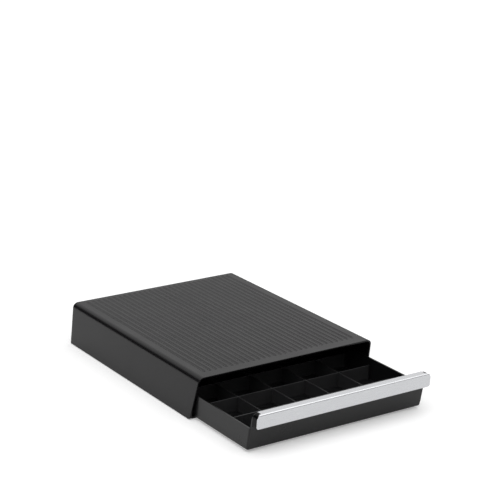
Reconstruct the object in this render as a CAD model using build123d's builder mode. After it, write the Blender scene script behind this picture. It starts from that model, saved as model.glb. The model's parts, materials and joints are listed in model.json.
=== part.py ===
"""Coffee pod drawer: a low housing with a ribbed top, and a sliding drawer under it.

Millimetres. +Z is up from the table, +Y points to the back and the drawer slides out along -Y.
The origin is on the table, in the middle of the box round the drawer as it stands part open.
"""

from build123d import *
import os
from math import cos, radians, sin, tan

os.makedirs("parts", exist_ok=True)

# ---- Driving dimensions -------------------------------------------------------------------------
# The cells: the size that each one takes, and how they stand in rows
pod_rim = 51.0
pod_base = 37.0
pod_height = 43.5
pod_pitch = 53.1
pod_columns = 5
pod_rows = 6

# Drawer tray
tray_wall = 1.8
tray_side_height = 31.2
front_slant = 11.7  # degrees that the drawer's front leans forward
row_side_room = 0.25  # from the outer cells to the side walls
row_back_room = 1.0
first_row_setback = 25.2  # middle of the first row, behind the tray's bottom front edge
corner_radius = 3.0
bottom_radius = 2.6
ring_width = 1.2  # raised rings on the floor, one in each cell
ring_height = 1.2
ring_room = 0.5
lug_depth = 1.4  # guide lugs at the back of the tray's sides
lug_height = 5.2
lug_length = 14.0
lug_setback = 4.0
lug_lift = 0.4

# Dividers
divider_thickness = 1.5
divider_height = 20.0
divider_room = 0.3
keeper_length = 3.0  # the ribs on the walls, on both sides of each divider's end
keeper_thickness = 1.2
divider_corner = 2.0

# Pull on the drawer's front
strip_thickness = 0.8
strip_reach = 18.3  # the strip's bottom edge, ahead of the tray's bottom front edge
strip_height = 18.9
strip_lean = 4.7
strip_edge_radius = 2.2
strip_corner_radius = 6.5
strip_lower_corner_radius = 3.0
pull_head_room = 2.6  # from the strip's top to the underside of the housing's top
pull_side_room = 0.7
skirt_thickness = 1.4
skirt_recess = 1.0
core_web = 2.0
flange_depth = 8.0
flange_thickness = 1.6
cap_flat = 0.6  # level top of each cap, beside its rounded corner
plug_depth = 4.0
boss_radius = 3.2
boss_length = 5.0
boss_drop = 5.0  # screw axes, below the top of the front wall, along its slope
screw_radius = 1.4
screw_head_radius = 2.8
screw_head_height = 1.8
screw_slot = 0.8
pull_screw_count = 4
pull_screw_pitch = 76.0

# Runners, and how the drawer fits in the housing
run_gap = 0.3
fit_gap = 0.15
runner_web = 1.6
ledge_thickness = 0.8
ledge_width = 10.0
lip_thickness = 1.3
runner_setback = 1.5
runner_end = 2.4
peg_radius = 2.0
peg_count = 3
stop_setback = 62.0
stop_length = 12.0
stop_peg_radius = 1.5
drawer_out = 122.0  # how far the drawer stands open
closed_inset = 0.0  # the tray's bottom front edge, behind the housing's, when it is shut

# Housing
wall = 2.2
side_flare = 4.9  # degrees that each side leans in towards the top
open_front_slant = 13.5
shoulder_radius = 8.6
back_radius = 3.0
front_corner_radius = 5.0
rim_radius = 0.8
head_room = 9.6  # above what the cells hold, to the underside of the housing's top
back_room = 4.8  # from the shut drawer to the housing's back wall
groove_pitch = 8.35
groove_count = 29
groove_depth = 0.8
groove_width = 4.4
groove_front_border = 15.0
groove_back_border = 8.0

# Base panel and feet
ground_gap = 0.8
panel_thickness = 1.8
panel_setback = 1.5
tab_reach = 1.1
tab_length = 16.0
tab_thickness = 1.0
tab_count = 3
foot_radius = 7.0
foot_thickness = 1.6
foot_inset = 22.0
foot_chamfer = 0.3

# ---- Sizes that follow from them ------------------------------------------------------------------
panel_top = ground_gap + panel_thickness
ledge_top = panel_top + ledge_thickness
tray_bottom = ledge_top + run_gap
floor_top = tray_bottom + tray_wall
side_top = tray_bottom + tray_side_height
lug_bottom = ledge_top + lug_lift
lug_top = lug_bottom + lug_height
lip_bottom = lug_top + run_gap
lip_top = lip_bottom + lip_thickness

tray_half = pod_columns * pod_pitch / 2 + row_side_room + tray_wall
tray_length = first_row_setback + (pod_rows - 1) * pod_pitch + pod_rim / 2 + row_back_room + tray_wall
web_inner = tray_half + lug_depth + run_gap
lip_inner = tray_half + run_gap

flare = tan(radians(side_flare))
wall_across = wall / cos(radians(side_flare))
housing_half = web_inner + runner_web + fit_gap + wall_across + lip_top * flare
housing_height = floor_top + pod_height + head_room + wall
housing_depth = closed_inset + tray_length + back_room + wall

strip_top = housing_height - wall - pull_head_room
strip_bottom = strip_top - strip_height
cover_line = strip_top - strip_thickness  # underside of the strip's top, where core and wall end
lean = tan(radians(strip_lean))
slope = tan(radians(front_slant))
strip_front_reach = (
    strip_reach
    + (strip_height - strip_edge_radius) * lean
    + strip_edge_radius * (1 / cos(radians(strip_lean)) - 1)
)
front_y = (drawer_out + strip_front_reach - housing_depth) / 2
back_y = front_y + housing_depth
tray_y = front_y - drawer_out
tray_rear = tray_y + tray_length
row_one_y = tray_y + first_row_setback


def outer_half(height):
    """Half the housing's width outside, at a height above the table."""
    return housing_half - height * flare


def inner_half(height):
    """Half the housing's width inside."""
    return outer_half(height) - wall_across


def front_wall_y(height):
    """The outside of the drawer's leaning front."""
    return tray_y - (height - tray_bottom) * slope


def front_wall_inside_y(height):
    """The inside of the drawer's leaning front."""
    return front_wall_y(height) + tray_wall / cos(radians(front_slant))


def strip_y(height):
    """The outside of the pull strip's front."""
    return tray_y - strip_reach - (height - strip_bottom) * lean


def behind_strip_y(height):
    """The strip's back, where its core starts."""
    return strip_y(height) + strip_thickness / cos(radians(strip_lean))


pull_half = inner_half(housing_height - wall) - pull_side_room
core_half = pull_half - strip_corner_radius - cap_flat
cap_step_y = behind_strip_y(cover_line) + strip_edge_radius  # where each cap rises beside the strip's top
closed_travel = drawer_out - closed_inset
lug_front = tray_rear - lug_setback - lug_length
lug_back = tray_rear - lug_setback
runner_front = front_y + runner_setback
runner_back = back_y - wall - fit_gap - back_radius
stop_front = front_y + stop_setback
stop_back = stop_front + stop_length
open_travel = lug_front - stop_back - run_gap

column_x = [(i - (pod_columns - 1) / 2) * pod_pitch for i in range(pod_columns)]
row_y = [row_one_y + i * pod_pitch for i in range(pod_rows)]
long_divider_x = [x + pod_pitch / 2 for x in column_x[:-1]]
cross_divider_y = [y + pod_pitch / 2 for y in row_y[:-1]]
divider_bottom = floor_top + divider_room / 2
divider_top = divider_bottom + divider_height
inner_tray_half = tray_half - tray_wall
slot_width = divider_thickness + divider_room

front_plane = Plane(
    origin=(0, tray_y, tray_bottom),
    x_dir=(1, 0, 0),
    z_dir=(0, -cos(radians(front_slant)), -sin(radians(front_slant))),
)
front_wall_rise = cover_line - tray_bottom - tray_wall * sin(radians(front_slant))
front_wall_length = front_wall_rise / cos(radians(front_slant))
boss_height = front_wall_length - boss_drop
pull_screw_x = [(i - (pull_screw_count - 1) / 2) * pull_screw_pitch for i in range(pull_screw_count)]

tab_z = ground_gap + panel_thickness / 2
panel_half = inner_half(panel_top) - fit_gap
panel_front = front_y + panel_setback
panel_back = back_y - wall - fit_gap
panel_length = panel_back - panel_front
tab_y = [panel_front + panel_length * (i + 0.5) / tab_count for i in range(tab_count)]
foot_x = panel_half - foot_inset
foot_front_y = panel_front + foot_inset
foot_back_y = panel_back - foot_inset
foot_places = {
    "foot_front_left": (-foot_x, foot_front_y),
    "foot_front_right": (foot_x, foot_front_y),
    "foot_back_left": (-foot_x, foot_back_y),
    "foot_back_right": (foot_x, foot_back_y),
}
peg_x = tray_half - ledge_width / 2
peg_y = [runner_front + (runner_back - runner_front) * (i + 0.5) / peg_count for i in range(peg_count)]
channel_middle = (ledge_top + lip_bottom) / 2


def save(part, name):
    """Labels a finished piece and writes its file."""
    part.label = name
    export_step(part, f"parts/{name}.step")


# ---- Housing cover --------------------------------------------------------------------------------
overhang = housing_height * tan(radians(open_front_slant))
groove_radius = (groove_width**2 / 4 + groove_depth**2) / (2 * groove_depth)
groove_front = front_y - overhang + groove_front_border
groove_back = back_y - groove_back_border

with BuildPart() as housing_cover:
    with BuildSketch(Plane.XZ.offset(-back_y)):
        with BuildLine():
            Polyline(
                (-outer_half(ground_gap), ground_gap),
                (-outer_half(housing_height), housing_height),
                (outer_half(housing_height), housing_height),
                (outer_half(ground_gap), ground_gap),
                close=True,
            )
        make_face()
    extrude(amount=housing_depth + overhang)
    open_front = Plane(
        origin=(0, front_y, 0),
        x_dir=(1, 0, 0),
        z_dir=(0, cos(radians(open_front_slant)), sin(radians(open_front_slant))),
    )
    split(bisect_by=open_front, keep=Keep.TOP)
    top_face = housing_cover.faces().sort_by(Axis.Z)[-1]
    fillet(top_face.edges().filter_by(Axis.Y), radius=shoulder_radius)
    back_face = housing_cover.faces().sort_by(Axis.Y)[-1]
    fillet(back_face.edges().sort_by(Axis.Z)[1:], radius=back_radius)
    bottom_face = housing_cover.faces().sort_by(Axis.Z)[0]
    front_face = housing_cover.faces().sort_by(Axis.Y)[0]
    offset(amount=-wall, openings=[bottom_face, front_face])
    front_feet = housing_cover.edges().filter_by(Axis.X).group_by(Axis.Z)[0].group_by(Axis.Y)[0]
    fillet(front_feet, radius=front_corner_radius)
    front_rim = housing_cover.faces().sort_by(Axis.Y)[0]
    fillet(front_rim.edges().filter_by(Axis.X).sort_by(Axis.Z)[-1], radius=rim_radius)
    with BuildSketch(Plane.XZ.offset(-groove_back)):
        with Locations((0, housing_height - groove_depth + groove_radius)):
            with GridLocations(groove_pitch, 0, groove_count, 1):
                Circle(groove_radius)
    extrude(amount=groove_back - groove_front, mode=Mode.SUBTRACT)
    with BuildSketch(Plane.XY.offset(tab_z - tab_thickness / 2 - fit_gap / 2)):
        for y in tab_y:
            with Locations((0, y)):
                Rectangle(2 * (panel_half + fit_gap + tab_reach), tab_length + fit_gap)
    extrude(amount=tab_thickness + fit_gap, mode=Mode.SUBTRACT)
save(housing_cover.part, "housing_cover")

# ---- Base panel -----------------------------------------------------------------------------------
with BuildPart() as base_panel:
    with BuildSketch(Plane.XY.offset(ground_gap)):
        with Locations((0, (panel_front + panel_back) / 2)):
            Rectangle(2 * panel_half, panel_length)
    extrude(amount=panel_thickness)
    upright = base_panel.edges().filter_by(Axis.Z)
    fillet(upright.group_by(Axis.Y)[-1], radius=back_radius)
    fillet(upright.group_by(Axis.Y)[0], radius=front_corner_radius)
    with BuildSketch(Plane.XY.offset(tab_z - tab_thickness / 2)):
        for y in tab_y:
            with Locations((0, y)):
                Rectangle(2 * (panel_half + tab_reach), tab_length)
    extrude(amount=tab_thickness)
    with BuildSketch(Plane.XY.offset(ground_gap)):
        with Locations(*foot_places.values()):
            Circle(foot_radius)
    extrude(amount=foot_thickness - ground_gap, mode=Mode.SUBTRACT)
    with BuildSketch(Plane.XY.offset(ground_gap)):
        for y in peg_y:
            with Locations((-peg_x, y), (peg_x, y)):
                Circle(peg_radius)
    extrude(amount=panel_thickness, mode=Mode.SUBTRACT)
save(base_panel.part, "base_panel")

# ---- Runners and their stops ------------------------------------------------------------------------
for side, name in ((-1, "left"), (1, "right")):
    with BuildPart() as runner:
        with BuildSketch(Plane.XZ.offset(-runner_back)):
            with BuildLine():
                Polyline(
                    (side * (tray_half - ledge_width), panel_top),
                    (side * (inner_half(panel_top) - fit_gap), panel_top),
                    (side * (inner_half(lip_top) - fit_gap), lip_top),
                    (side * lip_inner, lip_top),
                    (side * lip_inner, lip_bottom),
                    (side * web_inner, lip_bottom),
                    (side * web_inner, ledge_top),
                    (side * (tray_half - ledge_width), ledge_top),
                    close=True,
                )
            make_face()
        extrude(amount=runner_back - runner_front)
        with BuildSketch(Plane.XY.offset(ledge_top)):
            end_front = lug_back + closed_travel + run_gap
            with Locations((side * (lip_inner + web_inner) / 2, end_front + runner_end / 2)):
                Rectangle(web_inner - lip_inner, runner_end)
        extrude(amount=lip_bottom - ledge_top)
        with BuildSketch(Plane.XY.offset(ground_gap)):
            for y in peg_y:
                with Locations((side * peg_x, y)):
                    Circle(peg_radius)
        extrude(amount=panel_thickness)
        with BuildSketch(Plane.YZ.offset(side * web_inner)):
            with Locations(((stop_front + stop_back) / 2, channel_middle)):
                Circle(stop_peg_radius)
        extrude(amount=side * (runner_web + wall), mode=Mode.SUBTRACT)
    save(runner.part, f"{name}_runner")

    with BuildPart() as stop:
        with BuildSketch(Plane.YZ.offset(side * lip_inner)):
            with Locations(((stop_front + stop_back) / 2, channel_middle)):
                Rectangle(stop_length, lip_bottom - ledge_top)
        extrude(amount=side * (web_inner - lip_inner))
        with BuildSketch(Plane.YZ.offset(side * web_inner)):
            with Locations(((stop_front + stop_back) / 2, channel_middle)):
                Circle(stop_peg_radius)
        extrude(amount=side * runner_web)
    save(stop.part, f"{name}_stop")

# ---- Rubber feet ----------------------------------------------------------------------------------
for name, place in foot_places.items():
    with BuildPart() as foot:
        with BuildSketch(Plane.XY):
            with Locations(place):
                Circle(foot_radius)
        extrude(amount=foot_thickness)
        chamfer(foot.edges().group_by(Axis.Z)[0], length=foot_chamfer)
    save(foot.part, name)

# ---- Drawer tray ----------------------------------------------------------------------------------
with BuildPart() as drawer_tray:
    with BuildSketch(Plane.YZ.offset(-tray_half)):
        with BuildLine():
            Polyline(
                (tray_y, tray_bottom),
                (tray_rear, tray_bottom),
                (tray_rear, side_top),
                (front_wall_y(side_top), side_top),
                close=True,
            )
        make_face()
    extrude(amount=2 * tray_half)
    rim = drawer_tray.faces().sort_by(Axis.Z)[-1]
    floor = drawer_tray.faces().sort_by(Axis.Z)[0]
    level = rim.edges() + floor.edges()
    corners = [edge for edge in drawer_tray.edges() if edge not in level]
    fillet(corners, radius=corner_radius)
    fillet(drawer_tray.faces().sort_by(Axis.Z)[0].edges(), radius=bottom_radius)
    offset(amount=-tray_wall, openings=drawer_tray.faces().sort_by(Axis.Z)[-1])
    # The front stands taller than the sides, to carry the pull
    with BuildSketch(front_plane):
        with Locations((0, front_wall_length / 2 + corner_radius)):
            Rectangle(2 * pull_half, front_wall_length - 2 * corner_radius)
        fillet(vertices().group_by(Axis.Y)[-1], radius=strip_corner_radius)
        with Locations(*[(x, boss_height) for x in pull_screw_x]):
            Circle(screw_radius, mode=Mode.SUBTRACT)
    extrude(amount=-tray_wall)
    # Guide lugs
    with BuildSketch(Plane.XY.offset(lug_bottom)):
        with Locations((0, (lug_front + lug_back) / 2)):
            Rectangle(2 * (tray_half + lug_depth), lug_length)
            Rectangle(2 * (tray_half - tray_wall / 2), lug_length, mode=Mode.SUBTRACT)
    extrude(amount=lug_height)
    # Rings on the floor
    with BuildSketch(Plane.XY.offset(floor_top)):
        for y in row_y:
            with Locations(*[(x, y) for x in column_x]):
                Circle(pod_base / 2 + ring_room + ring_width)
        for y in row_y:
            with Locations(*[(x, y) for x in column_x]):
                Circle(pod_base / 2 + ring_room, mode=Mode.SUBTRACT)
    extrude(amount=ring_height)
    # Ribs that keep the dividers' ends
    keeper_x = (divider_thickness + divider_room + keeper_thickness) / 2
    keeper_reach = keeper_length + tray_wall / 2
    with BuildSketch(Plane.XY.offset(floor_top)):
        for y in cross_divider_y:
            for side in (-1, 1):
                x = side * (inner_tray_half + tray_wall / 2 - keeper_reach / 2)
                with Locations((x, y - keeper_x), (x, y + keeper_x)):
                    Rectangle(keeper_reach, keeper_thickness)
        for x in long_divider_x:
            y = tray_rear - tray_wall / 2 - keeper_reach / 2
            with Locations((x - keeper_x, y), (x + keeper_x, y)):
                Rectangle(keeper_thickness, keeper_reach)
    extrude(amount=divider_height)
    for x in long_divider_x:
        for side in (-1, 1):
            start = x + side * keeper_x - keeper_thickness / 2
            with BuildSketch(Plane.YZ.offset(start)):
                with BuildLine():
                    Polyline(
                        (front_wall_inside_y(floor_top) - tray_wall / 2, floor_top),
                        (front_wall_inside_y(floor_top) + keeper_length, floor_top),
                        (front_wall_inside_y(divider_top) + keeper_length, floor_top + divider_height),
                        (front_wall_inside_y(divider_top) - tray_wall / 2, floor_top + divider_height),
                        close=True,
                    )
                make_face()
            extrude(amount=keeper_thickness)
save(drawer_tray.part, "drawer_tray")

# ---- Dividers -------------------------------------------------------------------------------------
for number, x in enumerate(long_divider_x, start=1):
    with BuildPart() as long_divider:
        with BuildSketch(Plane.YZ.offset(x - divider_thickness / 2)):
            with BuildLine():
                Polyline(
                    (front_wall_inside_y(divider_bottom) + divider_room, divider_bottom),
                    (tray_rear - tray_wall - divider_room, divider_bottom),
                    (tray_rear - tray_wall - divider_room, divider_top),
                    (front_wall_inside_y(divider_top) + divider_room, divider_top),
                    close=True,
                )
            make_face()
            fillet(vertices(), radius=divider_corner)
            with Locations(*[(y, divider_top - divider_height / 4) for y in cross_divider_y]):
                Rectangle(slot_width, divider_height / 2 + divider_room, mode=Mode.SUBTRACT)
        extrude(amount=divider_thickness)
    save(long_divider.part, f"long_divider_{number}")

for number, y in enumerate(cross_divider_y, start=1):
    with BuildPart() as cross_divider:
        with BuildSketch(Plane.XZ.offset(-y - divider_thickness / 2)):
            with Locations((0, (divider_bottom + divider_top) / 2)):
                Rectangle(2 * (inner_tray_half - divider_room), divider_height)
            fillet(vertices(), radius=divider_corner)
            with Locations(*[(x, divider_bottom + divider_height / 4) for x in long_divider_x]):
                Rectangle(slot_width, divider_height / 2 + divider_room, mode=Mode.SUBTRACT)
        extrude(amount=divider_thickness)
    save(cross_divider.part, f"cross_divider_{number}")

# ---- Pull core ------------------------------------------------------------------------------------
skirt_bottom = strip_bottom + skirt_recess
web_bottom = cover_line - core_web
flange_bottom = cover_line - flange_depth
with BuildPart() as pull_core:
    with BuildSketch(Plane.YZ.offset(-core_half)):
        with BuildLine():
            Polyline(
                (behind_strip_y(skirt_bottom), skirt_bottom),
                (behind_strip_y(cover_line), cover_line),
                (front_wall_y(cover_line), cover_line),
                (front_wall_y(flange_bottom), flange_bottom),
                (front_wall_y(flange_bottom) - flange_thickness, flange_bottom),
                (front_wall_y(web_bottom) - flange_thickness, web_bottom),
                (behind_strip_y(web_bottom) + skirt_thickness, web_bottom),
                (behind_strip_y(skirt_bottom) + skirt_thickness, skirt_bottom),
                close=True,
            )
        make_face()
    extrude(amount=2 * core_half)
    top_front = pull_core.edges().filter_by(Axis.X).group_by(Axis.Z)[-1].sort_by(Axis.Y)[0]
    fillet(top_front, radius=strip_edge_radius - strip_thickness)
    with BuildSketch(front_plane):
        with Locations(*[(x, boss_height) for x in pull_screw_x]):
            Circle(boss_radius)
    extrude(amount=boss_length)
    with BuildSketch(front_plane):
        with Locations(*[(x, boss_height) for x in pull_screw_x]):
            Circle(screw_radius)
    extrude(amount=boss_length - skirt_thickness, mode=Mode.SUBTRACT)
save(pull_core.part, "pull_core")

# ---- Pull strip -----------------------------------------------------------------------------------
strip_back = front_wall_inside_y(cover_line)
with BuildPart() as pull_strip:
    with BuildSketch(Plane.YZ.offset(-pull_half)):
        with BuildLine():
            Polyline(
                (strip_y(strip_bottom), strip_bottom),
                (strip_y(strip_top), strip_top),
                (strip_back, strip_top),
                (strip_back, cover_line),
                (behind_strip_y(cover_line), cover_line),
                (behind_strip_y(strip_bottom), strip_bottom),
                close=True,
            )
        make_face()
    extrude(amount=2 * pull_half)
    long_edges = pull_strip.edges().filter_by(Axis.X)
    fillet(long_edges.group_by(Axis.Z)[-1].sort_by(Axis.Y)[0], radius=strip_edge_radius)
    inner_edge = pull_strip.edges().filter_by(Axis.X).sort_by_distance(
        (0, behind_strip_y(cover_line), cover_line)
    )[0]
    fillet(inner_edge, radius=strip_edge_radius - strip_thickness)
    # The strip's top ends where the caps stand
    with BuildSketch(Plane.XY.offset(cover_line)):
        with Locations((0, (cap_step_y + strip_back) / 2)):
            Rectangle(2 * pull_half, strip_back - cap_step_y)
            Rectangle(2 * core_half, strip_back - cap_step_y, mode=Mode.SUBTRACT)
    extrude(amount=strip_thickness, mode=Mode.SUBTRACT)
    with BuildSketch(Plane.XZ.offset(-front_y)):
        with Locations((0, (strip_bottom + strip_top) / 2)):
            Rectangle(2 * pull_half, strip_height)
        fillet(vertices().group_by(Axis.Y)[-1], radius=strip_corner_radius)
        fillet(vertices().group_by(Axis.Y)[0], radius=strip_lower_corner_radius)
    extrude(amount=housing_depth, mode=Mode.INTERSECT)
save(pull_strip.part, "pull_strip")

# ---- Pull caps ------------------------------------------------------------------------------------
for side, name in ((-1, "left"), (1, "right")):
    with BuildPart() as pull_cap:
        with BuildSketch(Plane.YZ.offset(side * core_half)):
            with BuildLine():
                Polyline(
                    (behind_strip_y(strip_bottom), strip_bottom),
                    (behind_strip_y(cover_line), cover_line),
                    (cap_step_y, cover_line),
                    (cap_step_y, strip_top),
                    (front_wall_y(strip_top), strip_top),
                    (front_wall_y(strip_bottom), strip_bottom),
                    close=True,
                )
            make_face()
        extrude(amount=side * (pull_half - core_half))
        bend = pull_cap.edges().filter_by(Axis.X).sort_by_distance(
            (side * core_half, behind_strip_y(cover_line), cover_line)
        )[0]
        fillet(bend, radius=strip_edge_radius - strip_thickness)
        with BuildSketch(Plane.XZ.offset(-front_y)):
            with Locations((0, (strip_bottom + strip_top) / 2)):
                Rectangle(2 * pull_half, strip_height)
            fillet(vertices().group_by(Axis.Y)[-1], radius=strip_corner_radius)
            fillet(vertices().group_by(Axis.Y)[0], radius=strip_lower_corner_radius)
        extrude(amount=housing_depth, mode=Mode.INTERSECT)
        # The plug that goes into the core's channel
        with BuildSketch(Plane.YZ.offset(side * core_half)):
            with BuildLine():
                Polyline(
                    (behind_strip_y(flange_bottom) + skirt_thickness, flange_bottom),
                    (behind_strip_y(web_bottom) + skirt_thickness, web_bottom),
                    (front_wall_y(web_bottom) - flange_thickness, web_bottom),
                    (front_wall_y(flange_bottom) - flange_thickness, flange_bottom),
                    close=True,
                )
            make_face()
        extrude(amount=-side * plug_depth)
    save(pull_cap.part, f"{name}_pull_cap")

# ---- Screws through the drawer's front into the core --------------------------------------------------
with BuildPart() as pull_screws:
    with BuildSketch(front_plane.offset(-tray_wall)):
        with Locations(*[(x, boss_height) for x in pull_screw_x]):
            Circle(screw_radius)
    extrude(amount=tray_wall + boss_length - skirt_thickness)
    with BuildSketch(front_plane.offset(-tray_wall)):
        with Locations(*[(x, boss_height) for x in pull_screw_x]):
            Circle(screw_head_radius)
    extrude(amount=-screw_head_height)
    with BuildSketch(front_plane.offset(-tray_wall - screw_head_height)):
        with Locations(*[(x, boss_height) for x in pull_screw_x]):
            Rectangle(screw_slot, screw_head_radius)
            Rectangle(screw_head_radius, screw_slot)
    extrude(amount=screw_head_height / 2, mode=Mode.SUBTRACT)
save(pull_screws.part, "pull_screws")

print("housing", 2 * housing_half, housing_depth, housing_height, "front_y", front_y, "back_y", back_y)
print("tray", 2 * tray_half, tray_length, "y", tray_y, tray_rear, "z", tray_bottom, side_top)
print("strip z", strip_bottom, strip_top, "half", pull_half, "front reach", strip_front_reach)
print("slide range", -closed_travel, open_travel)
print("heights", panel_top, ledge_top, floor_top, divider_top, "grooves", groove_front, groove_back)
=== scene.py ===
# %% [markdown]
# # A coffee pod drawer
# A low housing with a flat ribbed top, and a drawer that slides out from under it. This file
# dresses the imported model: it gives every piece its real finish, rebuilds the pieces whose looks
# need more than the frame holds, and lights them as for a product photograph.
#
# The frame comes first. Everything below is in metres and in the frame's own axes: +Z is up, +Y is
# the back, and the drawer slides out along -Y.

# %% Load the frame
import json
from math import cos, pi, radians, sin, tan

import bmesh
import bpy
from mathutils import Matrix, Vector


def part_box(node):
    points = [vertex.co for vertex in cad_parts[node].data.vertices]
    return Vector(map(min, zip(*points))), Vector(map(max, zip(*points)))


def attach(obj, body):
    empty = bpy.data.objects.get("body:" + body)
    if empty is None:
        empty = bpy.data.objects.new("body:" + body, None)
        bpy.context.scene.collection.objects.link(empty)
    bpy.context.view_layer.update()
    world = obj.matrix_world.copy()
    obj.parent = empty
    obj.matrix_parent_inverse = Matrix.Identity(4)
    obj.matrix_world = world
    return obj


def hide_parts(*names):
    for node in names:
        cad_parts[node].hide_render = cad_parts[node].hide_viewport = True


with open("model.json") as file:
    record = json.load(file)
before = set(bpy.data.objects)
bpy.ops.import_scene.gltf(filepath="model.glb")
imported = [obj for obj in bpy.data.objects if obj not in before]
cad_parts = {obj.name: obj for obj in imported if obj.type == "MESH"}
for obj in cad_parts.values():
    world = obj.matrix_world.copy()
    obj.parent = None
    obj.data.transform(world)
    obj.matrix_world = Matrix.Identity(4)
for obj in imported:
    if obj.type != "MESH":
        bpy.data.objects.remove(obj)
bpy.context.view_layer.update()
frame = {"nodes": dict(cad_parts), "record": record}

MM = 0.001
nodes = frame["nodes"]
slot_of = {part["node"]: part["material_slot"] for part in frame["record"]["subparts"]}
bodies = frame["record"]["behaviour"]["bodies"]
body_of = {node: body for body, members in bodies.items() for node in members}

# %% [markdown]
# Two small helpers serve the whole file. Colours are written as the hex values that a colour picker
# shows, and Blender's shaders want linear light, so one function turns one into the other. The other
# adds a node to a tree: its settings by name, and each input as a value or as the socket it comes from.

# %% Helpers for colours and nodes
def linear(hex_colour):
    """An sRGB hex value, such as "c8cacc", as the linear RGBA that a shader takes."""
    channels = [int(hex_colour[i : i + 2], 16) / 255 for i in (0, 2, 4)]
    return (*[c / 12.92 if c <= 0.04045 else ((c + 0.055) / 1.055) ** 2.4 for c in channels], 1.0)


def add_node(tree, kind, inputs=None, **settings):
    """Adds a node with its settings, and fills its inputs with values or links them to sockets."""
    node = tree.nodes.new(kind)
    for name, value in settings.items():
        setattr(node, name, value)
    for socket, value in (inputs or {}).items():
        if isinstance(value, bpy.types.NodeSocket):
            tree.links.new(value, node.inputs[socket])
        else:
            node.inputs[socket].default_value = value
    return node


# %% [markdown]
# ## The camera
# The photograph was taken with a long lens from the front left, a little above the object. The
# angles and the place were found by fitting straight edges and round corners, and are kept as real
# sizes. A camera looks along its own -Z, so it is tilted up from straight down, turned about the
# upright axis, and rolled by the one degree that the tripod was off.

# %% Camera
camera_azimuth = radians(33.905)
camera_elevation = radians(17.294)
camera_roll = radians(0.943)
camera_place = Vector((-1.13607, -1.70368, 0.81663))
focal_length_mm = 116.546
sensor_mm = 36.0

camera_data = bpy.data.cameras.new("camera")
camera_data.sensor_width = sensor_mm
camera_data.lens = focal_length_mm
camera = bpy.data.objects.new("camera", camera_data)
camera.matrix_world = (
    Matrix.Translation(camera_place)
    @ Matrix.Rotation(-camera_azimuth, 4, "Z")
    @ Matrix.Rotation(radians(90) - camera_elevation, 4, "X")
    @ Matrix.Rotation(camera_roll, 4, "Z")
)
bpy.context.scene.collection.objects.link(camera)
bpy.context.scene.camera = camera
bpy.context.scene.view_settings.view_transform = "Standard"
print("camera at", [round(c, 3) for c in camera_place])

# %% [markdown]
# ## The studio
# A product on a white sweep: the floor is white to the camera, keeps the soft shadow under the
# housing, and shows a little less bright in the plastic's gloss, as a sheet of card does. Light Path
# tells the rays apart, so no lamp has to be turned up to whiten the background.

# %% Floor
floor_half = 8.0
floor_glow_in_gloss = 0.09
floor_glow_to_camera = 0.30
floor_mesh = bpy.data.meshes.new("studio_floor")
floor_corners = [(-1, -1), (1, -1), (1, 1), (-1, 1)]
floor_mesh.from_pydata([(x * floor_half, y * floor_half, 0) for x, y in floor_corners], [], [(0, 1, 2, 3)])
floor = bpy.data.objects.new("studio_floor", floor_mesh)
bpy.context.scene.collection.objects.link(floor)

floor_card = bpy.data.materials.new("white_card")
floor_card.use_nodes = True
tree = floor_card.node_tree
tree.nodes.clear()
rays = add_node(tree, "ShaderNodeLightPath")
card = add_node(tree, "ShaderNodeBsdfDiffuse", {"Color": linear("f2f2f2")})
lift = add_node(
    tree, "ShaderNodeMapRange",
    {"Value": rays.outputs["Is Camera Ray"], "To Min": floor_glow_in_gloss, "To Max": floor_glow_to_camera},
)
glow = add_node(tree, "ShaderNodeEmission", {"Color": (1, 1, 1, 1), "Strength": lift.outputs[0]})
both = add_node(tree, "ShaderNodeAddShader", {0: card.outputs[0], 1: glow.outputs[0]})
add_node(tree, "ShaderNodeOutputMaterial", {"Surface": both.outputs[0]})
floor_mesh.materials.append(floor_card)

# %% [markdown]
# The world stands for the studio's walls and ceiling. A camera ray sees plain white. A reflected ray
# sees what a studio really shows: dark walls at the height of the horizon, then a bright ceiling
# above it, which is what draws the dark and light bands along the housing's round shoulders.

# %% World
wall_brightness = 0.03
ceiling_brightness = 1.0
card_tilt = 0.25  # the ceiling card hangs lower on the right, so the left stays dark for longer
dark_below = 0.25
bright_above = 0.52
ambient_brightness = 0.42

world = bpy.data.worlds.new("studio")
bpy.context.scene.world = world
world.use_nodes = True
tree = world.node_tree
tree.nodes.clear()
direction = add_node(tree, "ShaderNodeTexCoord")
height = add_node(tree, "ShaderNodeSeparateXYZ", {0: direction.outputs["Generated"]})
tilted = add_node(
    tree, "ShaderNodeMath",
    {0: height.outputs["X"], 1: card_tilt, 2: height.outputs["Z"]},
    operation="MULTIPLY_ADD",
)
studio = add_node(
    tree, "ShaderNodeMapRange",
    {"Value": tilted.outputs[0], "From Min": dark_below, "From Max": bright_above,
     "To Min": wall_brightness, "To Max": ceiling_brightness},
    interpolation_type="SMOOTHSTEP",
)
rays = add_node(tree, "ShaderNodeLightPath")
mirrored = add_node(tree, "ShaderNodeBackground", {"Color": (1, 1, 1, 1), "Strength": studio.outputs[0]})
ambient = add_node(tree, "ShaderNodeBackground", {"Color": (1, 1, 1, 1), "Strength": ambient_brightness})
white = add_node(tree, "ShaderNodeBackground", {"Color": (1, 1, 1, 1), "Strength": 1.0})
unseen = add_node(
    tree, "ShaderNodeMixShader",
    {0: rays.outputs["Is Glossy Ray"], 1: ambient.outputs[0], 2: mirrored.outputs[0]},
)
seen = add_node(
    tree, "ShaderNodeMixShader",
    {0: rays.outputs["Is Camera Ray"], 1: unseen.outputs[0], 2: white.outputs[0]},
)
add_node(tree, "ShaderNodeOutputWorld", {"Surface": seen.outputs[0]})

# %% [markdown]
# Two very wide lamps stand for the softboxes. They are suns, because a sun lights every side view
# alike, and their wide angle gives the soft edge that a large box has.

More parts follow.
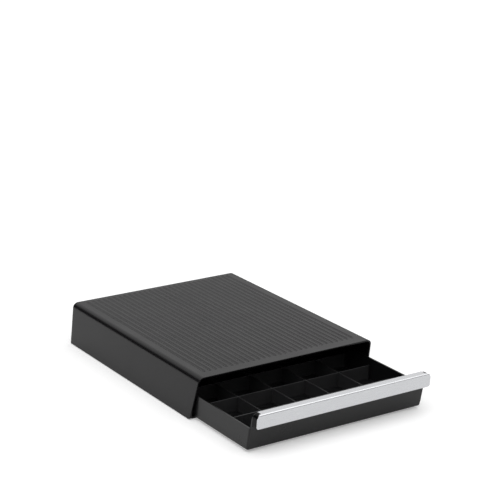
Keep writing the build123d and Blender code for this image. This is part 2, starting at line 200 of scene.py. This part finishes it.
# %% Softboxes: azimuth, elevation, strength, and the angle that the box fills, in degrees
softboxes = {
    "key_softbox": (-60, 50, 0.95, 60),
    "top_softbox": (30, 75, 0.9, 70),
}
for name, (azimuth, elevation, strength, spread) in softboxes.items():
    lamp_data = bpy.data.lights.new(name, "SUN")
    lamp_data.energy = strength
    lamp_data.angle = radians(spread)
    lamp = bpy.data.objects.new(name, lamp_data)
    turned = Matrix.Rotation(radians(azimuth), 4, "Z")
    lamp.matrix_world = turned @ Matrix.Rotation(radians(90 - elevation), 4, "X")
    bpy.context.scene.collection.objects.link(lamp)
print("softboxes:", ", ".join(softboxes))

# %% [markdown]
# ## Moulded plastics
# The housing and the drawer are injection-moulded ABS. A moulder's tool is spark-eroded, which
# leaves a fine even grain, so the plastic is near black and shines softly instead of like a mirror.
# What makes it look real is small: a grain in the bump, and gloss that changes a little across the
# part where the melt flowed and cooled. The same recipe serves the other plastics with their own
# colour, gloss and grain.

# %% Plastics
noise_low = 0.3  # a noise seldom goes below or above these two
noise_high = 0.7


def moulded(
    name, colour, pale, roughness, ior, grain_mm, grain_height_mm,
    flow_mm=45.0, gloss_change=0.03, sheen_level=0.5,
):
    """A moulded plastic: a grain of bumps, and gloss and colour that drift where the melt flowed."""
    material = bpy.data.materials.new(name)
    material.use_nodes = True
    tree = material.node_tree
    tree.nodes.clear()
    place = add_node(tree, "ShaderNodeTexCoord").outputs["Object"]
    flow = add_node(
        tree, "ShaderNodeTexNoise", {"Vector": place, "Scale": 1 / (flow_mm * MM), "Detail": 3.0}
    )
    grain = add_node(
        tree, "ShaderNodeTexNoise", {"Vector": place, "Scale": 1 / (grain_mm * MM), "Detail": 2.0}
    )
    tint = add_node(
        tree, "ShaderNodeMix", {0: flow.outputs[0], 6: linear(colour), 7: linear(pale)}, data_type="RGBA"
    )
    gloss = add_node(
        tree, "ShaderNodeMapRange",
        {"Value": flow.outputs[0], "From Min": noise_low, "From Max": noise_high,
         "To Min": roughness - gloss_change, "To Max": roughness + gloss_change},
    )
    bump = add_node(
        tree, "ShaderNodeBump",
        {"Height": grain.outputs[0], "Strength": 1.0, "Distance": grain_height_mm * MM},
    )
    shader = add_node(
        tree, "ShaderNodeBsdfPrincipled",
        {"Base Color": tint.outputs[2], "Roughness": gloss.outputs[0], "IOR": ior,
         "Specular IOR Level": sheen_level, "Normal": bump.outputs[0]},
    )
    add_node(tree, "ShaderNodeOutputMaterial", {"Surface": shader.outputs[0]})
    return material


finishes = {
    # ABS, semi-matt from a spark-eroded tool; charcoal in the housing, a shade cooler in the drawer
    "housing_plastic": moulded(
        "spark_eroded_abs_housing", "0e0d0e", "121113", 0.24, 1.5, 0.9, 0.002, sheen_level=0.26
    ),
    "drawer_plastic": moulded(
        "spark_eroded_abs_drawer", "0e0e0f", "121213", 0.30, 1.5, 0.9, 0.002, sheen_level=0.37
    ),
    # Polypropylene sheet, a little waxy
    "divider_plastic": moulded("polypropylene_sheet", "232324", "2a2a2b", 0.38, 1.49, 1.4, 0.003, 20.0),
    # Acetal, the slippery plastic of drawer runners: smooth from a polished tool
    "runner_plastic": moulded("natural_black_acetal", "090909", "0d0d0d", 0.28, 1.48, 2.0, 0.002, 15.0),
    # Rubber: no gloss to speak of, with a powdery grain
    "foot_rubber": moulded("nitrile_rubber", "0b0b0b", "131312", 0.82, 1.52, 0.8, 0.02, 6.0, 0.06),
}
# The pull's end cheeks are polished, not grained: they show sharp reflections
polished_abs = moulded("polished_abs", "060606", "080808", 0.12, 1.5, 3.0, 0.0015, 12.0, 0.02, 0.08)
print("plastics:", len(finishes) + 1)

# %% [markdown]
# ## Metals
# The strip is anodised aluminium, brushed along its length before it was anodised. Brushing cuts
# fine parallel scratches a tenth of a millimetre apart, which are too fine for this picture, so the
# noise is drawn half a millimetre wide and stretched sixty times along the strip. The scratches go
# into the gloss and the bump; the colour changes only a little.

# %% Brushed aluminium
scratch_width_mm = 0.5
scratch_length_mm = 30.0
scratch_height_mm = 0.005
metal_roughness = (0.20, 0.30)

aluminium = bpy.data.materials.new("brushed_anodised_aluminium")
aluminium.use_nodes = True
tree = aluminium.node_tree
tree.nodes.clear()
place = add_node(tree, "ShaderNodeTexCoord").outputs["Object"]
across = 1 / (scratch_width_mm * MM)
along = 1 / (scratch_length_mm * MM)
stretched = add_node(tree, "ShaderNodeMapping", {"Vector": place, "Scale": (along, across, across)})
scratches = add_node(
    tree, "ShaderNodeTexNoise", {"Vector": stretched.outputs[0], "Scale": 1.0, "Detail": 4.0}
)
tone = add_node(
    tree, "ShaderNodeMix",
    {0: scratches.outputs[0], 6: linear("cfd0d3"), 7: linear("dcdddf")},
    data_type="RGBA",
)
gloss = add_node(
    tree, "ShaderNodeMapRange",
    {"Value": scratches.outputs[0], "From Min": noise_low, "From Max": noise_high,
     "To Min": metal_roughness[0], "To Max": metal_roughness[1]},
)
bump = add_node(
    tree, "ShaderNodeBump",
    {"Height": scratches.outputs[0], "Strength": 0.5, "Distance": scratch_height_mm * MM},
)
shader = add_node(
    tree, "ShaderNodeBsdfPrincipled",
    {"Base Color": tone.outputs[2], "Metallic": 1.0,
     "Roughness": gloss.outputs[0], "Normal": bump.outputs[0]},
)
add_node(tree, "ShaderNodeOutputMaterial", {"Surface": shader.outputs[0]})
finishes["pull_silver"] = aluminium

# %% [markdown]
# The screws are steel with a bright zinc plating, which is passivated: the clear film shifts the
# colour between blue and straw in patches, and dulls the shine in places.

# %% Zinc-plated steel
patch_mm = 1.6
zinc_roughness = (0.18, 0.40)

zinc = bpy.data.materials.new("zinc_plated_steel")
zinc.use_nodes = True
tree = zinc.node_tree
tree.nodes.clear()
place = add_node(tree, "ShaderNodeTexCoord").outputs["Object"]
patches = add_node(
    tree, "ShaderNodeTexNoise", {"Vector": place, "Scale": 1 / (patch_mm * MM), "Detail": 3.0}
)
tone = add_node(
    tree, "ShaderNodeMix",
    {0: patches.outputs[0], 6: linear("b4bac2"), 7: linear("c6c2b6")},
    data_type="RGBA",
)
gloss = add_node(
    tree, "ShaderNodeMapRange",
    {"Value": patches.outputs[0], "To Min": zinc_roughness[0], "To Max": zinc_roughness[1]},
)
shader = add_node(
    tree, "ShaderNodeBsdfPrincipled",
    {"Base Color": tone.outputs[2], "Metallic": 1.0, "Roughness": gloss.outputs[0]},
)
add_node(tree, "ShaderNodeOutputMaterial", {"Surface": shader.outputs[0]})
finishes["screw_steel"] = zinc
print("finishes for", len(finishes), "slots")

# %% Every node in its slot's finish
for name, node in nodes.items():
    node.data.materials.clear()
    node.data.materials.append(finishes[slot_of[name]])
for name in ("left_pull_cap", "right_pull_cap"):
    nodes[name].data.materials[0] = polished_abs

# %% [markdown]
# ## The ribbed cover
# The cover is one shell: two sides that flare to the table, round shoulders, a flat top with 29
# soft ribs, and a back wall with a small round edge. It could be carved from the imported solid, but
# a shell whose shape follows a rule is cleaner made from that rule: its front outline is drawn as
# stations from foot to foot, and copied in rows from the slanted opening to the back. Solidify then
# gives it its wall, and Bevel takes the sharpness off the rims, as a moulder's tool does.

# %% Sizes of the cover
cover_low, cover_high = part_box("housing_cover")
wall = 2.2 * MM
side_lean = radians(4.9)
opening_slant = radians(13.5)
shoulder_radius = 8.6 * MM
back_radius = 5.0 * MM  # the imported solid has 3 mm, and the photograph's edge looks rounder
foot_corner_radius = 5.0 * MM
foot_corner_steps = 8
rim_softness = 0.5 * MM
rim_steps = 3
rim_sharper_than = radians(50)
rib_pitch = 8.35 * MM
groove_depth = 0.8 * MM
rib_count = 29
groove_width = 5.6 * MM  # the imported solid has 4.4 mm; these soft edges start further out
columns_per_rib = 12
shoulder_height = cover_high.z - shoulder_radius
shoulder_middle = (
    cover_high.x - (shoulder_height - cover_low.z) * tan(side_lean) - shoulder_radius / cos(side_lean)
)
rib_field_half = rib_count * rib_pitch / 2
cover_size_mm = [round((high - low) / MM, 1) for low, high in zip(cover_low, cover_high)]
print("cover:", cover_size_mm, "mm, with", rib_count, "ribs")


# %% The cover's outline, seen from the front
def outline(inset):
    """Points (x, z) from the left foot over the top to the right foot, set in from the outside."""
    side_steps, shoulder_steps = 6, 12
    foot_x = cover_high.x - inset / cos(side_lean)
    radius = shoulder_radius - inset
    bend = [side_lean + (pi / 2 - side_lean) * i / shoulder_steps for i in range(shoulder_steps + 1)]
    arc = [(shoulder_middle + radius * cos(a), shoulder_height + radius * sin(a)) for a in bend]
    run_x = arc[0][0] - foot_x
    run_z = arc[0][1] - cover_low.z
    side = [
        (foot_x + run_x * i / side_steps, cover_low.z + run_z * i / side_steps) for i in range(side_steps)
    ]
    right = side + arc
    columns = rib_count * columns_per_rib
    top = [
        (-rib_field_half + rib_pitch * i / columns_per_rib, cover_high.z - inset)
        for i in range(columns + 1)
    ]
    return [(-x, z) for x, z in right] + top + right[::-1]


# %% Rows of the cover, from the slanted opening to the back wall
front_border = 15.0 * MM
back_border = 8.0 * MM
run_out = 6.0 * MM  # the length over which each rib fades into the plain border
run_out_steps = 6
middle_steps = 12
back_steps = 6
back_line = cover_high.y - back_radius
top_length = back_line - cover_low.y
rib_front = cover_low.y + front_border
rib_back = cover_high.y - back_border
fade = [run_out * i / run_out_steps for i in range(run_out_steps + 1)]
row_places = [cover_low.y, cover_low.y + front_border / 2]
row_places += [rib_front + f for f in fade]
middle_length = rib_back - rib_front - 2 * run_out
row_places += [rib_front + run_out + middle_length * i / middle_steps for i in range(1, middle_steps)]
row_places += [rib_back - f for f in reversed(fade)]
row_places += [back_line]

skin_rows = []
for place_y in row_places:
    share = (place_y - cover_low.y) / top_length
    row = []
    for x, z in outline(0.0):
        opening_y = cover_low.y + (cover_high.z - z) * tan(opening_slant)
        row.append((x, opening_y + share * (back_line - opening_y), z))
    skin_rows.append(row)
for i in range(1, back_steps + 1):
    turn = pi / 2 * i / back_steps
    row_y = back_line + back_radius * sin(turn)
    skin_rows.append([(x, row_y, z) for x, z in outline(back_radius * (1 - cos(turn)))])
print("cover skin:", len(skin_rows), "rows of", len(skin_rows[0]))

# %% The cover's skin as a mesh
cover_bm = bmesh.new()
grid = [[cover_bm.verts.new(point) for point in row] for row in skin_rows]
for near, far in zip(grid, grid[1:]):
    for i in range(len(near) - 1):
        cover_bm.faces.new((near[i], near[i + 1], far[i + 1], far[i]))
cover_bm.faces.new(grid[-1])
foot_corner_reach = foot_corner_radius * tan((pi / 2 - opening_slant) / 2)
bmesh.ops.bevel(
    cover_bm, geom=[grid[0][0], grid[0][-1]], affect="VERTICES",
    offset=foot_corner_reach, segments=foot_corner_steps, profile=0.5,
)
skin = bpy.data.meshes.new("ribbed_cover_skin")
cover_bm.to_mesh(skin)
cover_bm.free()
skin.shade_smooth()

# %% [markdown]
# The ribs follow a rule, so Geometry Nodes make them: across the top, a cosine that is deepest in
# the middle of each groove; along it, a soft run-out at both ends, as the cutter leaves in the tool.
# Only points at the height of the top move, so the shoulders and the inside of the wall stay true.
# The sizes are the tree's named inputs, and each input is set by its socket's identifier.

# %% The rib tree
def new_tree(name, inputs):
    """An empty Geometry Nodes tree with named inputs, and its sockets as they come into the tree."""
    tree = bpy.data.node_groups.new(name, "GeometryNodeTree")
    tree.interface.new_socket("Geometry", in_out="INPUT", socket_type="NodeSocketGeometry")
    for label, kind in inputs.items():
        tree.interface.new_socket(label, in_out="INPUT", socket_type="NodeSocket" + kind)
    tree.interface.new_socket("Geometry", in_out="OUTPUT", socket_type="NodeSocketGeometry")
    return tree, add_node(tree, "NodeGroupInput").outputs


def finish_tree(tree, geometry, material):
    """Ends a tree: instances become real, and everything gets its material."""
    real = add_node(tree, "GeometryNodeRealizeInstances", {0: geometry})
    painted = add_node(tree, "GeometryNodeSetMaterial", {0: real.outputs[0], "Material": material})
    add_node(tree, "NodeGroupOutput", {0: painted.outputs[0]})


top_band = 0.02 * MM  # how far below the top a point may lie and still belong to it
rib_tree, given = new_tree(
    "soft_ribs",
    {"Rib Pitch": "Float", "Groove Depth": "Float", "Groove Width": "Float",
     "Field Half Width": "Float", "Field Front": "Float", "Field Back": "Float",
     "Run Out": "Float", "Top Height": "Float", "Material": "Material"},
)
position = add_node(rib_tree, "GeometryNodeInputPosition")
spot = add_node(rib_tree, "ShaderNodeSeparateXYZ", {0: position.outputs[0]})
front_end = add_node(
    rib_tree, "ShaderNodeMath", {0: given["Field Front"], 1: given["Run Out"]}, operation="ADD"
)
back_end = add_node(
    rib_tree, "ShaderNodeMath", {0: given["Field Back"], 1: given["Run Out"]}, operation="SUBTRACT"
)
turns = add_node(
    rib_tree, "ShaderNodeMath", {0: spot.outputs["X"], 1: given["Rib Pitch"]}, operation="DIVIDE"
)
nearest = add_node(rib_tree, "ShaderNodeMath", {0: turns.outputs[0]}, operation="ROUND")
astray = add_node(
    rib_tree, "ShaderNodeMath", {0: turns.outputs[0], 1: nearest.outputs[0]}, operation="SUBTRACT"
)
from_groove = add_node(
    rib_tree, "ShaderNodeMath", {0: astray.outputs[0], 1: given["Rib Pitch"]}, operation="MULTIPLY"
)
share = add_node(
    rib_tree, "ShaderNodeMath",
    {0: from_groove.outputs[0], 1: given["Groove Width"]},
    operation="DIVIDE",
)
upper = add_node(rib_tree, "ShaderNodeMath", {0: share.outputs[0], 1: 0.5}, operation="MINIMUM")
inside = add_node(rib_tree, "ShaderNodeMath", {0: upper.outputs[0], 1: -0.5}, operation="MAXIMUM")
phase = add_node(rib_tree, "ShaderNodeMath", {0: inside.outputs[0], 1: 2 * pi}, operation="MULTIPLY")
wave = add_node(rib_tree, "ShaderNodeMath", {0: phase.outputs[0]}, operation="COSINE")
groove = add_node(
    rib_tree, "ShaderNodeMath", {0: wave.outputs[0], 1: 0.5, 2: 0.5}, operation="MULTIPLY_ADD"
)
aside = add_node(rib_tree, "ShaderNodeMath", {0: spot.outputs["X"]}, operation="ABSOLUTE")
level_below = add_node(
    rib_tree, "ShaderNodeMath", {0: given["Top Height"], 1: top_band}, operation="SUBTRACT"
)
masks = [
    add_node(
        rib_tree, "ShaderNodeMath",
        {0: aside.outputs[0], 1: given["Field Half Width"]},
        operation="LESS_THAN",
    ),
    add_node(
        rib_tree, "ShaderNodeMath",
        {0: spot.outputs["Z"], 1: level_below.outputs[0]},
        operation="GREATER_THAN",
    ),
    add_node(
        rib_tree, "ShaderNodeMapRange",
        {"Value": spot.outputs["Y"], "From Min": given["Field Front"], "From Max": front_end.outputs[0]},
        interpolation_type="SMOOTHSTEP",
    ),
    add_node(
        rib_tree, "ShaderNodeMapRange",
        {"Value": spot.outputs["Y"], "From Min": given["Field Back"], "From Max": back_end.outputs[0]},
        interpolation_type="SMOOTHSTEP",
    ),
]
depth = add_node(
    rib_tree, "ShaderNodeMath", {0: groove.outputs[0], 1: given["Groove Depth"]}, operation="MULTIPLY"
)
for mask in masks:
    depth = add_node(
        rib_tree, "ShaderNodeMath", {0: depth.outputs[0], 1: mask.outputs[0]}, operation="MULTIPLY"
    )
down = add_node(rib_tree, "ShaderNodeMath", {0: depth.outputs[0], 1: -1.0}, operation="MULTIPLY")
move = add_node(rib_tree, "ShaderNodeCombineXYZ", {"Z": down.outputs[0]})
ribbed = add_node(
    rib_tree, "GeometryNodeSetPosition", {"Geometry": given["Geometry"], "Offset": move.outputs[0]}
)
finish_tree(rib_tree, ribbed.outputs[0], given["Material"])
print("rib tree:", len(rib_tree.nodes), "nodes")


# %% Modifiers, and turning a piece into a plain mesh
def grow(piece, tree, values):
    """Puts a Geometry Nodes tree on a piece, with its inputs set by their sockets' identifiers."""
    modifier = piece.modifiers.new(tree.name, "NODES")
    modifier.node_group = tree
    for item in tree.interface.items_tree:
        if item.in_out == "INPUT" and item.name in values:
            modifier[item.identifier] = values[item.name]


def plain_piece(name, draft, body, replaced):
    """The draft's evaluated mesh as a new piece that stands for nodes and rides on their body."""
    bpy.context.view_layer.update()
    evaluated = draft.evaluated_get(bpy.context.evaluated_depsgraph_get())
    mesh = bpy.data.meshes.new_from_object(evaluated)
    bpy.data.objects.remove(draft)
    mesh.name = name
    piece = bpy.data.objects.new(name, mesh)
    bpy.context.scene.collection.objects.link(piece)
    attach(piece, body)
    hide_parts(*replaced)
    triangles = sum(len(face.vertices) - 2 for face in mesh.polygons)
    print(f"{name}: {triangles} triangles")


# %% The cover from its skin
draft = bpy.data.objects.new("ribbed_cover_draft", skin)
bpy.context.scene.collection.objects.link(draft)
solid = draft.modifiers.new("wall", "SOLIDIFY")
solid.thickness = wall
solid.offset = -1.0
solid.use_even_offset = True
rims = draft.modifiers.new("rims", "BEVEL")
rims.width = rim_softness
rims.segments = rim_steps
rims.limit_method = "ANGLE"
rims.angle_limit = rim_sharper_than
grow(draft, rib_tree, {
    "Rib Pitch": rib_pitch, "Groove Depth": groove_depth, "Groove Width": groove_width,
    "Field Half Width": rib_field_half, "Field Front": rib_front, "Field Back": rib_back,
    "Run Out": run_out, "Top Height": cover_high.z, "Material": finishes["housing_plastic"],
})
draft.modifiers.new("even_shading", "WEIGHTED_NORMAL").weight = 50
plain_piece("ribbed_cover", draft, "housing", ["housing_cover"])

# %% [markdown]
# ## Mouldings with soft edges
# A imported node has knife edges, and no moulded or pressed part has those: a real edge is round by a
# few tenths of a millimetre, and that sliver of light along it is what makes a part look solid. The
# nodes themselves stay as they are. A copy of each one has its loose triangles merged and its flat
# faces joined, gets a fine Bevel, and stands for the node.

# %% Softening a node
merge_within = 0.002 * MM
flat_within = radians(0.4)
edge_steps = 2
edge_sharper_than = radians(30)


def soften(name, edge_mm):
    """A copy of a node with round edges, which replaces it."""
    mesh = bpy.data.meshes.new(name + "_copy")
    bm = bmesh.new()
    bm.from_mesh(nodes[name].data)
    bmesh.ops.remove_doubles(bm, verts=bm.verts, dist=merge_within)
    bmesh.ops.dissolve_limit(bm, angle_limit=flat_within, verts=bm.verts, edges=bm.edges)
    for layer in list(bm.loops.layers.float_vector.values()):
        bm.loops.layers.float_vector.remove(layer)
    bm.to_mesh(mesh)
    bm.free()
    for extra in [a.name for a in mesh.attributes if a.name == "custom_normal"]:
        mesh.attributes.remove(mesh.attributes[extra])
    mesh.shade_smooth()
    mesh.materials.append(nodes[name].data.materials[0])
    draft = bpy.data.objects.new(name + "_draft", mesh)
    bpy.context.scene.collection.objects.link(draft)
    edges = draft.modifiers.new("soft_edges", "BEVEL")
    edges.width = edge_mm * MM
    edges.segments = edge_steps
    edges.limit_method = "ANGLE"
    edges.angle_limit = edge_sharper_than
    edges.harden_normals = True
    plain_piece(name + "_finished", draft, body_of[name], [name])


# %% The drawer's mouldings, the strip and what else shows
edge_rounding_mm = {
    "drawer_tray": 0.25, "pull_strip": 0.2, "pull_core": 0.25,
    "left_pull_cap": 0.35, "right_pull_cap": 0.35,
    "base_panel": 0.3, "left_runner": 0.25, "right_runner": 0.25,
    "left_stop": 0.4, "right_stop": 0.4,
}
edge_rounding_mm.update({name: 0.3 for name in sorted(nodes) if "divider" in name})
for name, edge_mm in edge_rounding_mm.items():
    soften(name, edge_mm)

# %% [markdown]
# ## The screws
# Four pan-head screws hold the pull on the drawer's front, with their heads inside the drawer. One
# head is turned from its profile, and its cross recess is cut out; Geometry Nodes then set it out
# along a line, so that the count and the pitch are two numbers.

# %% One screw
screw_radius = 1.4 * MM
head_radius = 2.8 * MM
head_height = 1.8 * MM
recess_length = 2.8 * MM
recess_width = 0.8 * MM
recess_depth = 0.9 * MM
shank_length = 5.4 * MM
dome_fullness = 0.6  # under 1, the dome is fuller than a plain quarter circle
dome_steps = 8
spin_steps = 32
seam_width = 0.01 * MM

screw_bm = bmesh.new()
dome_angles = [pi / 2 * i / dome_steps for i in range(dome_steps + 1)]
dome = [(head_radius * sin(a), head_height * cos(a) ** dome_fullness) for a in dome_angles]
shank = [(head_radius, 0.0), (screw_radius, 0.0), (screw_radius, -shank_length), (0.0, -shank_length)]
chain = [screw_bm.verts.new((radius, 0, z)) for radius, z in dome + shank]
lines = [screw_bm.edges.new(pair) for pair in zip(chain, chain[1:])]
bmesh.ops.spin(
    screw_bm, geom=chain + lines, axis=(0, 0, 1), cent=(0, 0, 0),
    angle=2 * pi, steps=spin_steps, use_duplicate=False,
)
bmesh.ops.remove_doubles(screw_bm, verts=screw_bm.verts, dist=seam_width)
bmesh.ops.recalc_face_normals(screw_bm, faces=screw_bm.faces)
screw_mesh = bpy.data.meshes.new("screw")
screw_bm.to_mesh(screw_mesh)
screw_bm.free()
screw_mesh.shade_smooth()
screw = bpy.data.objects.new("screw_draft", screw_mesh)
bpy.context.scene.collection.objects.link(screw)
cutters = []
for number, size in enumerate([(recess_length, recess_width), (recess_width, recess_length)]):
    cutter_bm = bmesh.new()
    bmesh.ops.create_cube(cutter_bm, size=1.0)
    bmesh.ops.scale(cutter_bm, vec=(*size, 2 * recess_depth), verts=cutter_bm.verts)
    bmesh.ops.translate(cutter_bm, vec=(0, 0, head_height), verts=cutter_bm.verts)
    cutter_mesh = bpy.data.meshes.new(f"recess_{number}")
    cutter_bm.to_mesh(cutter_mesh)
    cutter_bm.free()
    cutters.append(bpy.data.objects.new(f"recess_{number}", cutter_mesh))
    bpy.context.scene.collection.objects.link(cutters[-1])
    cut = screw.modifiers.new(f"recess_{number}", "BOOLEAN")
    cut.object = cutters[-1]
    cut.operation = "DIFFERENCE"
    cut.solver = "EXACT"

# %% The row of screws
screw_count = 4
screw_pitch = 76.0 * MM
front_lean = radians(11.7)
screw_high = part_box("pull_screws")[1]
row_tree, given = new_tree(
    "screw_row",
    {"Count": "Int", "Pitch": "Float", "First Screw": "Vector", "Lean": "Float", "Material": "Material"},
)
step = add_node(row_tree, "ShaderNodeCombineXYZ", {"X": given["Pitch"]})
line = add_node(
    row_tree, "GeometryNodeMeshLine",
    {"Count": given["Count"], "Start Location": given["First Screw"], "Offset": step.outputs[0]},
)
tilt = add_node(row_tree, "ShaderNodeCombineXYZ", {"X": given["Lean"]})
screws = add_node(
    row_tree, "GeometryNodeInstanceOnPoints",
    {"Points": line.outputs[0], "Instance": given["Geometry"], "Rotation": tilt.outputs[0]},
)
finish_tree(row_tree, screws.outputs[0], given["Material"])

# The heads' undersides lie on the wall's inside; each axis is square to the leaning wall
head_reach = head_height * cos(front_lean) + head_radius * sin(front_lean)
first_screw = Vector((
    -(screw_count - 1) * screw_pitch / 2,
    screw_high.y - head_reach,
    screw_high.z - head_height * sin(front_lean) - head_radius * cos(front_lean),
))
grow(screw, row_tree, {
    "Count": screw_count, "Pitch": screw_pitch, "First Screw": first_screw,
    "Lean": front_lean - pi / 2, "Material": finishes["screw_steel"],
})
plain_piece("pull_screw_row", screw, "drawer", ["pull_screws"])
for cutter in cutters:
    bpy.data.objects.remove(cutter)
